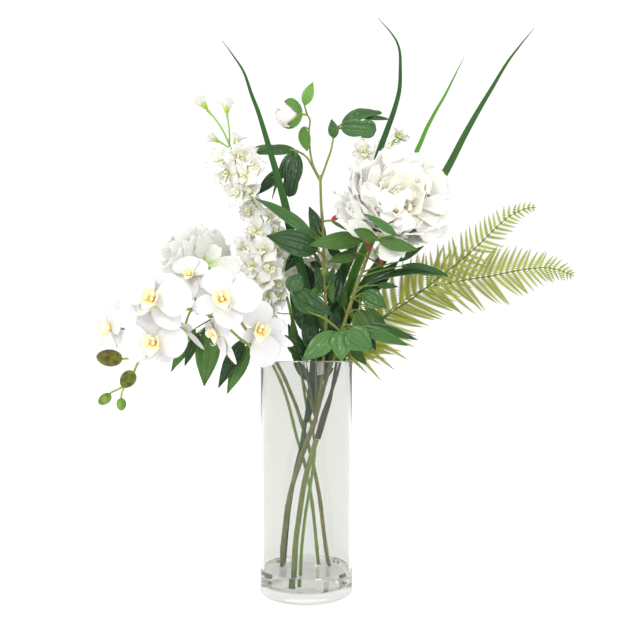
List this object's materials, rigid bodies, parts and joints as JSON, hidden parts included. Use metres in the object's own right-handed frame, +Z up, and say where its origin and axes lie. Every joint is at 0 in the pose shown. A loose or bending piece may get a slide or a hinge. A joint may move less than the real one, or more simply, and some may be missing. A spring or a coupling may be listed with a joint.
{
  "type": "flower arrangement in vase",
  "caption": "Faux white peony, moth orchid and delphinium arrangement with grass and fern in a clear cylinder vase with set water.",
  "frame": {"origin": "centre of the vase's flat foot", "axes": "+Z up along the vase's axis, -Y towards the viewer of the picture, +X to the viewer's right"},
  "size_m": [0.5178, 0.207, 0.648],
  "materials": {
    "clear_glass": "clear, polished",
    "clear_water": "clear, set resin with a level surface",
    "peony_green": "satin leaves with a lighter underside",
    "orchid_green": "satin",
    "grass_green": "satin",
    "fern_green": "matt",
    "petal_white": "matt, thin fabric",
    "bud_blush": "matt, thin fabric"
  },
  "bodies": {
    "root": {"vase": "clear_glass", "water": "clear_water", "peony_spray": "peony_green", "peony_bloom_right": "petal_white", "peony_bud": "bud_blush", "peony_left_stem": "peony_green", "peony_bloom_left": "petal_white", "orchid_stem": "orchid_green", "orchid_bloom_1": "petal_white", "orchid_bloom_2": "petal_white", "orchid_bloom_3": "petal_white", "orchid_bloom_4": "petal_white", "orchid_bloom_5": "petal_white", "orchid_bloom_6": "petal_white", "orchid_bloom_7": "petal_white", "orchid_bloom_8": "petal_white", "grass": "grass_green", "fern_stem": "fern_green", "fern_frond_upper": "fern_green", "fern_frond_lower": "fern_green", "delphinium": "petal_white"}
  },
  "joints": []
}
